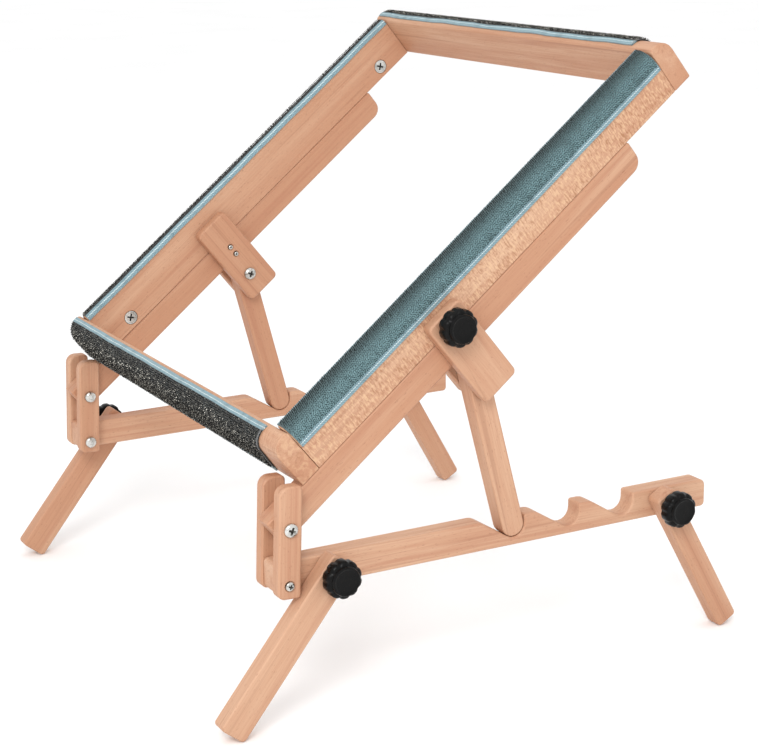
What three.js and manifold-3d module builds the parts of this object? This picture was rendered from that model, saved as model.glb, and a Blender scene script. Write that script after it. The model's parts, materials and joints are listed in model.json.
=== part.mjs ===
// A gripper frame on a folding stand, for punch needle and rug hooking, in millimetres.
// X runs to the right, Y to the back, and Z up from the floor that the four feet stand on.
// Side pieces come in three layers: a middle one in line with the side rails, and one on each side of it.
import * as THREE from "three";
import { mergeVertices } from "three/addons/utils/BufferGeometryUtils.js";
import Module from "manifold-3d";

const wasm = await Module();
wasm.setup();

// ---- driving sizes ----
const GAP = 0.3; // left between pieces that touch on the real object
const EDGE = 1.2; // chamfer on every wooden edge
const ARC_STEP = THREE.MathUtils.degToRad(20); // longest stretch of an arc drawn as one line
const SIDES = 16; // of small holes and turned pieces
const FINE_SIDES = 20;

const frame = { width: 450, length: 450, railThickness: 18, railHeight: 42, tilt: 39 };
frame.outerRound = 13; // where the cloth is pulled over the rail
frame.innerRound = 3.5;

const strip = { thickness: 2.6, crossLowEdge: 2, sideLowEdge: 24, sideInnerEdge: 38, topReach: 14.5 };
strip.leftEnd = 3; // bare wood past the strip on the front and rear rails
strip.rightEnd = 27;

const cam = { radius: 6.5, depth: 11, fromCorner: 50, height: 10, clearance: 0.3, sunk: 0.4, edge: 0.8 };
cam.socket = { mouth: 2.6, floor: 1.2, depth: 2.2 };

const arm = { height: 24, frontOverhang: 9, length: 414, endRound: 10, frontRound: 2 };
const post = { width: 19, thickness: 11, above: 33.5, span: 44, below: 10.5, lean: 2.5 };
post.frontTopRound = 8;
post.backTopRound = 4;
post.bottomRound = 6;
post.heelRound = 2.4;
post.toFrame = 31; // along the arm, from the upper post bolt to the front of the frame

const plate = { width: 35.6, thickness: 11, outerTop: 20, innerTop: 24, bottom: -63, round: 4.5 };
plate.centre = 165; // along the arm, from the front of the frame
plate.knobHeight = 8;
plate.screwHeights = [-7, -16];

const beam = { length: 405, height: 24, front: 8, endTopRound: 6, endRound: 3.5 };
beam.boltDrop = 3.5; // of the lower post bolt, below the middle of the beam
const notch = { count: 3, first: 205, pitch: 53, clearance: 0.5, seatDepth: 7, slope: 32 };
notch.frontRound = 12;
notch.hookRound = 2;

const strut = { width: 20, clearance: 0.5, pivotDepth: 40.5, pivotBack: 162.5 };
strut.flat = 1; // left in the middle of each round end
strut.boltDepth = 5.5; // of the strut's bolt in the outer clamp plate

const leg = { thickness: 16, cornerRound: 3.5 };
const frontLeg = { width: 24, lean: 51.3, reach: 143.2, above: 12, pivot: 37 };
const rearLeg = { width: 19.5, lean: 60.8, above: 12.5, pivot: 350 };

const knob = { radius: 15.2, lobes: 10, lobeDepth: 1.5, collarRadius: 8, collarHeight: 3 };
knob.lobeSteps = 4; // corners drawn for each lobe
knob.lobeShape = 1.5; // power that narrows the valleys between the lobes
knob.bodyHeight = 11;
knob.bevel = 1.5;
knob.discRadius = 11.5;
knob.discHeight = 2.5;
knob.discEdge = 0.8;
knob.overlap = 1; // how far the turned core reaches into the lobed body
knob.studRadius = 3;
knob.grip = 13; // of a leg's stud in the beam

const BLIND = 1; // left past the end of a bolt or stud in a blind hole

const bolt = { radius: 3, clearance: 0.3, rim: 0.35, crown: 0.6 }; // rim and crown as shares of the head
const bigHead = { radius: 5.6, height: 2.6 };
const smallHead = { radius: 3.8, height: 1.8 };
const domeHead = { radius: 6, height: 3 };
const nut = { radius: 5.2, wall: 2.4, rim: 2.6, height: 3.8, crown: 3.6 };
const screw = { radius: 2.1, rim: 0.25, height: 0.8, crown: 1.3, depth: 9 };

// ---- places worked out from the sizes ----
const rad = THREE.MathUtils.degToRad;
const outerFace = frame.width / 2; // outer face of the side rails, arms and beams
const innerFace = outerFace - frame.railThickness;
const strutThickness = frame.railThickness - 2 * strut.clearance; // it swings between the clamp plates
const seatRadius = strut.width / 2 + notch.clearance; // of a notch, which the strut's foot stands in
const drop = (length, width, lean) =>
  (length - leg.cornerRound) * Math.sin(rad(lean)) +
  (width / 2 - leg.cornerRound) * Math.cos(rad(lean)) +
  leg.cornerRound;
const beamHeight = drop(frontLeg.reach, frontLeg.width, frontLeg.lean); // middle of the beam
rearLeg.reach = rearReach();
const lowerBolt = { y: -18, z: beamHeight - beam.boltDrop };
const upperBolt = {
  y: lowerBolt.y + post.span * Math.sin(rad(post.lean)),
  z: lowerBolt.z + post.span * Math.cos(rad(post.lean)),
};

// The rear leg is cut to the length that brings its foot down to the floor too.
function rearReach() {
  const corner = (rearLeg.width / 2 - leg.cornerRound) * Math.cos(rad(rearLeg.lean)) + leg.cornerRound;
  return (beamHeight - corner) / Math.sin(rad(rearLeg.lean)) + leg.cornerRound;
}

// ---- colours ----
const BEECH = { color: 0xdcb08a, roughness: 0.62, metalness: 0 };
const PILE = { color: 0x4c5254, roughness: 0.9, metalness: 0.2 };
const TEAL_PILE = { color: 0x5d8488, roughness: 0.8, metalness: 0.2 };
const STEEL = { color: 0xb9bcbd, roughness: 0.3, metalness: 1 };
const BLACK = { color: 0x17181a, roughness: 0.4, metalness: 0 };

const loom = new THREE.Group();

// Tilted group whose Y runs up along the arms and Z square to them; its origin is the upper post bolt.
const tilted = new THREE.Group();
tilted.position.set(0, upperBolt.y, upperBolt.z);
tilted.rotation.x = rad(frame.tilt);
loom.add(tilted);

// Group for the frame and clamps; its origin is the lower front edge of the front rail.
const frameGroup = new THREE.Group();
frameGroup.position.set(0, post.toFrame, arm.height / 2);
tilted.add(frameGroup);

// ---- helpers ----
function addMesh(group, name, geometry, look, position = [0, 0, 0]) {
  const mesh = new THREE.Mesh(geometry, new THREE.MeshStandardMaterial(look));
  mesh.name = name;
  mesh.position.set(...position);
  group.add(mesh);
  return mesh;
}

// Closed outline through corners [x, y, radius], each rounded to its radius.
function roundedOutline(corners) {
  const points = [];
  corners.forEach(([x, y, radius = 0], i) => {
    const at = new THREE.Vector2(x, y);
    const [beforeX, beforeY] = corners[(i + corners.length - 1) % corners.length];
    const [afterX, afterY] = corners[(i + 1) % corners.length];
    const back = new THREE.Vector2(beforeX, beforeY).sub(at).normalize();
    const ahead = new THREE.Vector2(afterX, afterY).sub(at).normalize();
    if (radius === 0) {
      points.push(at);
      return;
    }
    const half = Math.acos(THREE.MathUtils.clamp(back.dot(ahead), -1, 1)) / 2;
    const tangent = radius / Math.tan(half);
    const centre = back.clone().add(ahead).normalize().multiplyScalar(radius / Math.sin(half)).add(at);
    const start = back.clone().multiplyScalar(tangent).add(at).sub(centre);
    const turn = Math.sign(back.cross(ahead)) * -(Math.PI - 2 * half);
    const steps = Math.max(2, Math.ceil(Math.abs(turn) / ARC_STEP));
    for (let k = 0; k <= steps; k++) {
      points.push(start.clone().rotateAround(new THREE.Vector2(), (turn * k) / steps).add(centre));
    }
  });
  return new THREE.Shape(points);
}

function roundedBox(left, right, low, high, radius) {
  return roundedOutline([
    [left, low, radius],
    [right, low, radius],
    [right, high, radius],
    [left, high, radius],
  ]);
}

function drill(shape, x, y, radius) {
  const hole = new THREE.Path();
  for (let k = 0; k < SIDES; k++) {
    const angle = (-2 * Math.PI * k) / SIDES;
    const [px, py] = [x + radius * Math.cos(angle), y + radius * Math.sin(angle)];
    if (k === 0) hole.moveTo(px, py);
    else hole.lineTo(px, py);
  }
  hole.closePath();
  shape.holes.push(hole);
}

// Board with chamfered edges; its outline lies in the YZ plane, its thickness along +X.
function board(shape, thickness, edge = EDGE) {
  const geometry = new THREE.ExtrudeGeometry(shape, {
    depth: thickness - 2 * edge,
    bevelEnabled: edge > 0,
    bevelThickness: edge,
    bevelSize: edge,
    bevelOffset: -edge,
    bevelSegments: 1,
  });
  geometry.translate(0, 0, edge);
  const toYZ = new THREE.Matrix4().makeBasis(
    new THREE.Vector3(0, 1, 0),
    new THREE.Vector3(0, 0, 1),
    new THREE.Vector3(1, 0, 0),
  );
  return geometry.applyMatrix4(toYZ);
}

// Left edge of a board that spans from one distance off the middle plane to another, on either side.
const boardStart = (side, near, far) => (side > 0 ? near : -far);

// Turned piece whose axis runs outwards, away from the middle plane; its profile is [radius, along] pairs.
function turned(profile, side, sides = SIDES) {
  const geometry = new THREE.LatheGeometry(
    profile.map(([radius, along]) => new THREE.Vector2(radius, along)),
    sides,
  );
  return geometry.rotateZ((-side * Math.PI) / 2);
}

function solid(geometry) {
  const bare = geometry.clone();
  bare.deleteAttribute("normal");
  bare.deleteAttribute("uv");
  const merged = mergeVertices(bare, 1e-4);
  return new wasm.Manifold(
    new wasm.Mesh({
      numProp: 3,
      vertProperties: new Float32Array(merged.attributes.position.array),
      triVerts: new Uint32Array(merged.index.array),
    }),
  );
}

// Drills a hole along X into a piece, from one distance along X to another.
function bore(geometry, [y, z], radius, from, to) {
  const bit = new THREE.CylinderGeometry(radius, radius, to - from, SIDES);
  bit.rotateZ(Math.PI / 2);
  bit.translate((from + to) / 2, y, z);
  return fromSolid(solid(geometry).subtract(solid(bit)));
}

// Blind hole in a board, drilled from its left or from its right face.
function boreBlind(geometry, place, radius, depth, thickness, fromLeft) {
  return fromLeft
    ? bore(geometry, place, radius, -BLIND, depth)
    : bore(geometry, place, radius, thickness - depth, thickness + BLIND);
}

function fromSolid(result) {
  const mesh = result.getMesh();
  const geometry = new THREE.BufferGeometry();
  geometry.setAttribute("position", new THREE.BufferAttribute(new Float32Array(mesh.vertProperties), 3));
  geometry.setIndex(new THREE.BufferAttribute(new Uint32Array(mesh.triVerts), 1));
  geometry.computeVertexNormals();
  return geometry;
}

// ---- the frame ----
// Cross-section of a rail: x runs in from its outer face, y up from its underside.
function railSection() {
  const { railThickness: width, railHeight: height, outerRound, innerRound } = frame;
  return roundedOutline([
    [0, 0, EDGE],
    [width, 0, EDGE],
    [width, height, innerRound],
    [0, height, outerRound],
  ]);
}

// Turns a cross-section drawn as (in from the outer face, up) into a rail whose length runs along Y,
// on the right side, with its outer face at x = 0.
function railAlongY(shape, length) {
  const geometry = new THREE.ExtrudeGeometry(shape, { depth: length, bevelEnabled: false });
  const place = new THREE.Matrix4().makeBasis(
    new THREE.Vector3(-1, 0, 0),
    new THREE.Vector3(0, 0, 1),
    new THREE.Vector3(0, 1, 0),
  );
  return geometry.applyMatrix4(place);
}

// The same rail turned to each side of the frame, centred on its own length.
function rail(shape, length, quarterTurns) {
  const geometry = railAlongY(shape, length);
  geometry.translate(0, -length / 2, 0);
  return geometry.rotateZ((quarterTurns * Math.PI) / 2);
}

function camPocket(y) {
  const radius = cam.radius + cam.clearance;
  const geometry = new THREE.CylinderGeometry(radius, radius, cam.depth * 2, FINE_SIDES);
  geometry.rotateZ(Math.PI / 2);
  return geometry.translate(-frame.railThickness, y, cam.height);
}

// Round lock let into the inner face of a side rail, with a socket for the screwdriver.
function camLock() {
  const { radius, depth, sunk, clearance, edge, socket } = cam;
  const profile = [
    [0, -depth + clearance],
    [radius, -depth + clearance],
    [radius, -sunk - edge],
    [radius - edge, -sunk],
    [socket.mouth, -sunk],
    [socket.floor, -sunk - socket.depth],
    [0, -sunk - socket.depth],
  ];
  return turned(profile, -1, FINE_SIDES);
}

function addFrame() {
  const section = railSection();
  const sideLength = frame.length - 2 * frame.railThickness - 2 * GAP;
  const middle = frame.length / 2;
  addMesh(frameGroup, "front_rail", rail(section, frame.width, 3), BEECH);
  addMesh(frameGroup, "rear_rail", rail(section, frame.width, 1), BEECH, [0, frame.length, 0]);
  const offsets = [-1, 1].map((end) => end * (middle - cam.fromCorner));
  let sideRail = solid(rail(section, sideLength, 0));
  for (const y of offsets) sideRail = sideRail.subtract(solid(camPocket(y)));
  const right = fromSolid(sideRail);
  const left = right.clone().rotateZ(Math.PI);
  addMesh(frameGroup, "right_rail", right, BEECH, [outerFace, middle, 0]);
  addMesh(frameGroup, "left_rail", left, BEECH, [-outerFace, middle, 0]);
  for (const side of [-1, 1]) {
    offsets.forEach((y, i) => {
      const name = `${side > 0 ? "right" : "left"}_${i === 0 ? "front" : "rear"}_cam_lock`;
      const lock = camLock();
      if (side < 0) lock.rotateZ(Math.PI);
      addMesh(frameGroup, name, lock, STEEL, [side * innerFace, middle + y, cam.height]);
    });
  }
}

// Cross-section of a gripper strip lying on a rail, from its low edge on the outer face, over the top,
// to where it stops: on the flat top, or part of the way down the inner face.
function stripSection(lowEdge, innerEdge) {
  const { railThickness: width, railHeight: height, outerRound, innerRound } = frame;
  const under = GAP;
  const over = GAP + strip.thickness;
  const arc = (cx, cy, radius, from, to) => {
    const steps = Math.ceil(Math.abs(to - from) / ARC_STEP);
    return Array.from({ length: steps + 1 }, (_, k) => {
      const angle = from + ((to - from) * k) / steps;
      return new THREE.Vector2(cx + radius * Math.cos(angle), cy + radius * Math.sin(angle));
    });
  };
  const path = (offset) => {
    const points = [new THREE.Vector2(-offset, lowEdge)];
    points.push(...arc(outerRound, height - outerRound, outerRound + offset, Math.PI, Math.PI / 2));
    if (innerEdge === undefined) {
      points.push(new THREE.Vector2(strip.topReach, height + offset));
    } else {
      points.push(...arc(width - innerRound, height - innerRound, innerRound + offset, Math.PI / 2, 0));
      points.push(new THREE.Vector2(width + offset, innerEdge));
    }
    return points;
  };
  return new THREE.Shape([...path(under), ...path(over).reverse()]);
}

function addStrips() {
  const wrap = stripSection(strip.crossLowEdge);
  const sideWrap = stripSection(strip.sideLowEdge, strip.sideInnerEdge);
  const crossLength = frame.width - strip.leftEnd - strip.rightEnd;
  const crossMiddle = (strip.leftEnd - strip.rightEnd) / 2;
  const sideLength = frame.length - 2 * frame.railThickness - 2 * EDGE;
  const middle = frame.length / 2;
  addMesh(frameGroup, "front_gripper_strip", rail(wrap, crossLength, 3), PILE, [crossMiddle, 0, 0]);
  addMesh(frameGroup, "rear_gripper_strip", rail(wrap, crossLength, 1), PILE, [crossMiddle, frame.length, 0]);
  const right = rail(sideWrap, sideLength, 0);
  const left = rail(sideWrap, sideLength, 2);
  addMesh(frameGroup, "right_gripper_strip", right, TEAL_PILE, [outerFace, middle, 0]);
  addMesh(frameGroup, "left_gripper_strip", left, PILE, [-outerFace, middle, 0]);
}

// ---- knobs and fasteners ----
function knobGeometry(studLength) {
  const { radius, lobes, lobeDepth, bevel, collarRadius, collarHeight, bodyHeight, overlap } = knob;
  const { studRadius, discRadius, discHeight, discEdge } = knob;
  const outline = [];
  const steps = lobes * knob.lobeSteps;
  for (let k = 0; k < steps; k++) {
    const angle = (2 * Math.PI * k) / steps;
    const valley = ((1 - Math.cos(lobes * angle)) / 2) ** knob.lobeShape;
    const r = radius - lobeDepth * valley;
    outline.push(new THREE.Vector2(r * Math.cos(angle), r * Math.sin(angle)));
  }
  const body = new THREE.ExtrudeGeometry(new THREE.Shape(outline), {
    depth: bodyHeight - 2 * bevel,
    bevelEnabled: true,
    bevelThickness: bevel,
    bevelSize: bevel,
    bevelOffset: -bevel,
    bevelSegments: 1,
  });
  body.translate(0, 0, collarHeight + bevel);
  body.rotateX(-Math.PI / 2);
  const top = collarHeight + bodyHeight;
  const profile = [
    [0, -studLength],
    [studRadius, -studLength],
    [studRadius, 0],
    [collarRadius, 0],
    [collarRadius, collarHeight + overlap],
    [discRadius, top - overlap],
    [discRadius, top + discHeight - discEdge],
    [discRadius - discEdge, top + discHeight],
    [0, top + discHeight],
  ];
  const points = profile.map(([r, along]) => new THREE.Vector2(r, along));
  return fromSolid(solid(body).add(solid(new THREE.LatheGeometry(points, FINE_SIDES))));
}

function addKnob(group, name, side, studLength, position) {
  const geometry = knobGeometry(studLength).rotateZ((-side * Math.PI) / 2);
  addMesh(group, name, geometry, BLACK, position);
}

// Bolt with a low domed head; the shank runs inwards from the head's seat.
function boltGeometry(head, shank, side) {
  const profile = [
    [0, -shank],
    [bolt.radius, -shank],
    [bolt.radius, 0],
    [head.radius, 0],
    [head.radius, head.height * bolt.rim],
    [head.radius * bolt.crown, head.height],
    [0, head.height],
  ];
  return turned(profile, side);
}

// Round cap nut: a dome on the free side, with a socket for the bolt's end.
function nutGeometry(side) {
  const inner = bolt.radius + bolt.clearance;
  const profile = [
    [0, nut.wall],
    [inner, nut.wall],
    [inner, 0],
    [nut.radius, 0],
    [nut.radius, nut.rim],
    [nut.crown, nut.height],
    [0, nut.height],
  ];
  return turned(profile, side);
}

// ---- one side of the stand ----
function addArm(side, word) {
  const start = -arm.frontOverhang;
  const end = start + arm.length;
  const half = arm.height / 2;
  const top = half - GAP; // the rails lie on top of the arms
  const shape = roundedOutline([
    [start, -half, arm.frontRound],
    [end, -half, arm.endRound],
    [end, top, arm.frontRound],
    [start, top, arm.frontRound],
  ]);
  drill(shape, 0, 0, bolt.radius + bolt.clearance);
  const geometry = board(shape, frame.railThickness);
  addMesh(tilted, `${word}_arm`, geometry, BEECH, [boardStart(side, innerFace, outerFace), 0, 0]);
}

function plateShape(top, holes) {
  const half = plate.width / 2;
  const shape = roundedBox(plate.centre - half, plate.centre + half, plate.bottom, top, plate.round);
  for (const [y, z, radius] of holes) drill(shape, y, z, radius);
  return shape;
}

function addClamp(side, word) {
  const strutPivot = [strut.pivotBack, -strut.pivotDepth];
  const strutHole = [...strutPivot, bolt.radius + bolt.clearance];
  const knobHole = [plate.centre, plate.knobHeight, knob.studRadius + bolt.clearance];
  const screwHoles = plate.screwHeights.map((z) => [plate.centre, z, screw.radius + bolt.clearance]);
  const drilled = board(plateShape(plate.outerTop, [knobHole]), plate.thickness);
  const holeDepth = strut.boltDepth + BLIND;
  const outer = boreBlind(drilled, strutPivot, strutHole[2], holeDepth, plate.thickness, side > 0);
  const inner = board(plateShape(plate.innerTop, [strutHole, ...screwHoles]), plate.thickness);
  const outerSpan = [outerFace + GAP, outerFace + GAP + plate.thickness];
  const innerSpan = [innerFace - GAP - plate.thickness, innerFace - GAP];
  addMesh(frameGroup, `${word}_outer_clamp_plate`, outer, BEECH, [boardStart(side, ...outerSpan), 0, 0]);
  addMesh(frameGroup, `${word}_inner_clamp_plate`, inner, BEECH, [boardStart(side, ...innerSpan), 0, 0]);

  const knobSeat = [side * (outerSpan[1] + GAP), plate.centre, plate.knobHeight];
  addKnob(frameGroup, `${word}_clamp_knob`, side, plate.thickness + GAP, knobSeat);

  const boltSeat = [side * (innerSpan[0] - GAP), strut.pivotBack, -strut.pivotDepth];
  const shank = outerSpan[0] + strut.boltDepth - innerSpan[0] + GAP;
  addMesh(frameGroup, `${word}_strut_bolt`, boltGeometry(domeHead, shank, -side), STEEL, boltSeat);

  plate.screwHeights.forEach((z, i) => {
    const profile = [
      [0, -screw.depth],
      [screw.radius, -screw.depth],
      [screw.radius, screw.rim],
      [screw.crown, screw.height],
      [0, screw.height],
    ];
    const name = `${word}_plate_screw_${i === 0 ? "upper" : "lower"}`;
    addMesh(frameGroup, name, turned(profile, -side), STEEL, [side * innerSpan[0], plate.centre, z]);
  });
}

function addPosts(side, word) {
  const half = post.width / 2;
  const shape = roundedOutline([
    [-half, -post.below, post.bottomRound],
    [half, -post.below, post.heelRound],
    [half, post.span + post.above, post.backTopRound],
    [-half, post.span + post.above, post.frontTopRound],
  ]);
  drill(shape, 0, 0, bolt.radius + bolt.clearance);
  drill(shape, 0, post.span, bolt.radius + bolt.clearance);
  const geometry = board(shape, post.thickness).rotateX(-rad(post.lean));
  const outerStart = outerFace + GAP;
  const innerEnd = innerFace - GAP;
  const outerEnd = outerStart + post.thickness;
  const innerStart = innerEnd - post.thickness;
  const at = (x, { y, z }) => [x, y, z];
  const outerAt = at(boardStart(side, outerStart, outerEnd), lowerBolt);
  const innerAt = at(boardStart(side, innerStart, innerEnd), lowerBolt);
  addMesh(loom, `${word}_outer_post`, geometry, BEECH, outerAt);
  addMesh(loom, `${word}_inner_post`, geometry.clone(), BEECH, innerAt);

  const shank = outerEnd - innerStart + 3 * GAP;
  const joints = [
    ["arm", upperBolt, bigHead],
    ["base", lowerBolt, smallHead],
  ];
  for (const [place, pivot, head] of joints) {
    const boltAt = at(side * (outerEnd + GAP), pivot);
    const nutAt = at(side * (innerStart - GAP), pivot);
    addMesh(loom, `${word}_${place}_bolt`, boltGeometry(head, shank, side), STEEL, boltAt);
    addMesh(loom, `${word}_${place}_nut`, nutGeometry(-side), STEEL, nutAt);
  }
}

// Outline of the base beam, measured back from the lower post bolt and up from the middle of the beam.
function beamShape() {
  const half = beam.height / 2;
  const front = -beam.front;
  const back = front + beam.length;
  const corners = [
    [front, -half, beam.endRound],
    [back, -half, beam.endRound],
    [back, half, beam.endTopRound],
  ];
  const seatHeight = half - notch.seatDepth;
  const slope = rad(notch.slope);
  for (let i = notch.count - 1; i >= 0; i--) {
    const centre = notch.first + i * notch.pitch;
    const lowest = seatHeight - (seatRadius * (1 + Math.sin(slope))) / Math.cos(slope);
    const rampTop = centre - (seatRadius + notch.seatDepth * Math.cos(slope)) / Math.sin(slope);
    corners.push([centre + seatRadius, half, notch.hookRound]);
    corners.push([centre + seatRadius, lowest, seatRadius]);
    corners.push([rampTop, half, notch.frontRound]);
  }
  corners.push([front, half, beam.endRound]);
  const shape = roundedOutline(corners);
  drill(shape, 0, -beam.boltDrop, bolt.radius + bolt.clearance);
  return shape;
}

function addBeam(side, word) {
  let geometry = board(beamShape(), frame.railThickness);
  const radius = knob.studRadius + bolt.clearance;
  for (const pivot of [frontLeg.pivot, rearLeg.pivot]) {
    geometry = boreBlind(geometry, [pivot, 0], radius, knob.grip + BLIND, frame.railThickness, side < 0);
  }
  const x = boardStart(side, innerFace, outerFace);
  addMesh(loom, `${word}_base_beam`, geometry, BEECH, [x, lowerBolt.y, beamHeight]);
}

// Leg whose outline runs down from its pivot; it leans forwards when the lean is over a right angle.
function addLeg(side, word, place, size, lean) {
  const half = size.width / 2;
  const shape = roundedBox(-size.above, size.reach, -half, half, leg.cornerRound);
  drill(shape, 0, 0, knob.studRadius + bolt.clearance);
  const geometry = board(shape, leg.thickness).rotateX(-rad(lean));
  const start = outerFace + GAP;
  const end = start + leg.thickness;
  const y = lowerBolt.y + size.pivot;
  addMesh(loom, `${word}_${place}_leg`, geometry, BEECH, [boardStart(side, start, end), y, beamHeight]);
  const stud = leg.thickness + knob.grip + 2 * GAP;
  addKnob(loom, `${word}_${place}_leg_knob`, side, stud, [side * (end + GAP), y, beamHeight]);
}

// The strut hangs from the clamp plates and its round foot stands in the first notch.
function addStrut(side, word) {
  const pivot = new THREE.Vector3(0, strut.pivotBack, -strut.pivotDepth);
  loom.updateMatrixWorld(true);
  frameGroup.localToWorld(pivot);
  const footY = lowerBolt.y + notch.first;
  const footZ = beamHeight + beam.height / 2 - notch.seatDepth;
  const [dy, dz] = [footY - pivot.y, footZ - pivot.z];
  const reach = Math.hypot(dy, dz);
  const half = strut.width / 2;
  const round = half - strut.flat / 2;
  const shape = roundedBox(-half, reach + half, -half, half, round);
  drill(shape, 0, 0, bolt.radius + bolt.clearance);
  const geometry = board(shape, strutThickness).rotateX(Math.atan2(dz, dy));
  const middle = (innerFace + outerFace) / 2;
  const x = side * middle - strutThickness / 2;
  addMesh(loom, `${word}_strut`, geometry, BEECH, [x, pivot.y, pivot.z]);
}

addFrame();
addStrips();
for (const side of [-1, 1]) {
  const word = side > 0 ? "right" : "left";
  addArm(side, word);
  addClamp(side, word);
  addPosts(side, word);
  addBeam(side, word);
  addStrut(side, word);
  addLeg(side, word, "front", frontLeg, 180 - frontLeg.lean);
  addLeg(side, word, "rear", rearLeg, rearLeg.lean);
}

export default loom;
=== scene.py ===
"""A gripper frame for punch needle and rug hooking on a folding beech stand, in metres.

X runs to the right, Y to the back and Z up from the floor. Boards keep their CAD nodes and get
rounded edges and a beech material. Gripper strips, knobs and fasteners are built here in place of
their nodes.
"""
import json
import math

import bpy
import numpy as np
from mathutils import Matrix, Vector


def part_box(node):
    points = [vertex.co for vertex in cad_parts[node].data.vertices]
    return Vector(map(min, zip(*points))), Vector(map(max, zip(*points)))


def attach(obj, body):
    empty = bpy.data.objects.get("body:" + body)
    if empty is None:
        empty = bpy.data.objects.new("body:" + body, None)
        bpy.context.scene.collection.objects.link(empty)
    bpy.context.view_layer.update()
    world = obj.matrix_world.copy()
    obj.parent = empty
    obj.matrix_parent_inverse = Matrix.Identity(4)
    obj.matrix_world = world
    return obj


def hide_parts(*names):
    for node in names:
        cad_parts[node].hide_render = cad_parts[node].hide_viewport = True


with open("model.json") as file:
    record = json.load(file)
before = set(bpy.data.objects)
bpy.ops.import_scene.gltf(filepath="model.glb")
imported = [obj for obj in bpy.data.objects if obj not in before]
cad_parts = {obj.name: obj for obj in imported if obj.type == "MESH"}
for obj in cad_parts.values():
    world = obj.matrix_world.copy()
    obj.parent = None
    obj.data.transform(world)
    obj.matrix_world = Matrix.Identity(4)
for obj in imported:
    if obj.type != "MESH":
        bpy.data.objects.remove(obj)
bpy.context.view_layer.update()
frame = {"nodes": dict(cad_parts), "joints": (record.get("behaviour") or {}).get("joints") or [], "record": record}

MM = 0.001
SIDES = ("left", "right")
SIGN = {"left": -1, "right": 1}

# ---- the tilted frame's own directions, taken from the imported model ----
LIFT = next(joint for joint in frame["joints"] if joint["name"] == "frame_lift")
NORMAL = Vector(LIFT["axis"])  # square to the stretched cloth
ALONG = Vector((0, NORMAL.z, -NORMAL.y))  # from the front rail to the rear rail
ACROSS = Vector((1, 0, 0))
TILT = math.atan2(ALONG.z, ALONG.y)


def reach(node, direction):
    """Lowest and highest distance of a CAD node's points along a direction."""
    distances = [vertex.co.dot(direction) for vertex in frame["nodes"][node].data.vertices]
    return min(distances), max(distances)


def middle(node):
    """Middle of a CAD node's box."""
    low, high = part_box(node)
    return (low + high) / 2


FRONT, _ = reach("front_rail", ALONG)
_, REAR = reach("rear_rail", ALONG)
UNDERSIDE, TOP = reach("front_rail", NORMAL)
HALF_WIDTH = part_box("right_rail")[1].x
RAIL_THICKNESS = HALF_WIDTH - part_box("right_rail")[0].x
RAIL_HEIGHT = TOP - UNDERSIDE

# ---- sizes that the CAD's boxes don't give ----
OUTER_ROUND = 13 * MM  # rounding of the rails, which the strips are laid over
INNER_ROUND = 3.5 * MM
EDGE_ROUND = 0.9 * MM  # of every board
ROUNDED_FROM = 40  # degrees that a board's edge must turn by to be rounded
TWILL_BAND = 3.5 * MM  # width of a herringbone band in the strips' cloth
TWILL_SCALE = 330  # fineness of its threads, as a wave texture's scale
PAINTED_SHADE_SPAN = (9 * MM, 24 * MM)  # where on its width a cloth with painted shade darkens
FLAT_MAP = "Flat"  # UV map with a strip's flat coordinates in metres

# ---- looks of single boards ----
CROSSWISE_BOARDS = ("front_rail", "rear_rail")
QUARTERED_BOARDS = {"right_rail": 1.0, "front_rail": 0.5}  # how clearly their rays show
DARKER_BOARDS = ("front_rail", "rear_rail", "right_outer_clamp_plate", "right_rear_leg")
GRAIN_ANGLES = {  # of each board's length above the horizontal, in degrees
    "rail": math.degrees(TILT),
    "arm": math.degrees(TILT),
    "plate": math.degrees(TILT) + 90,
    "post": 87.5,
    "beam": 0,
    "strut": -75.6,
    "front_leg": 51.3,
    "rear_leg": -60.8,
}


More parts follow.
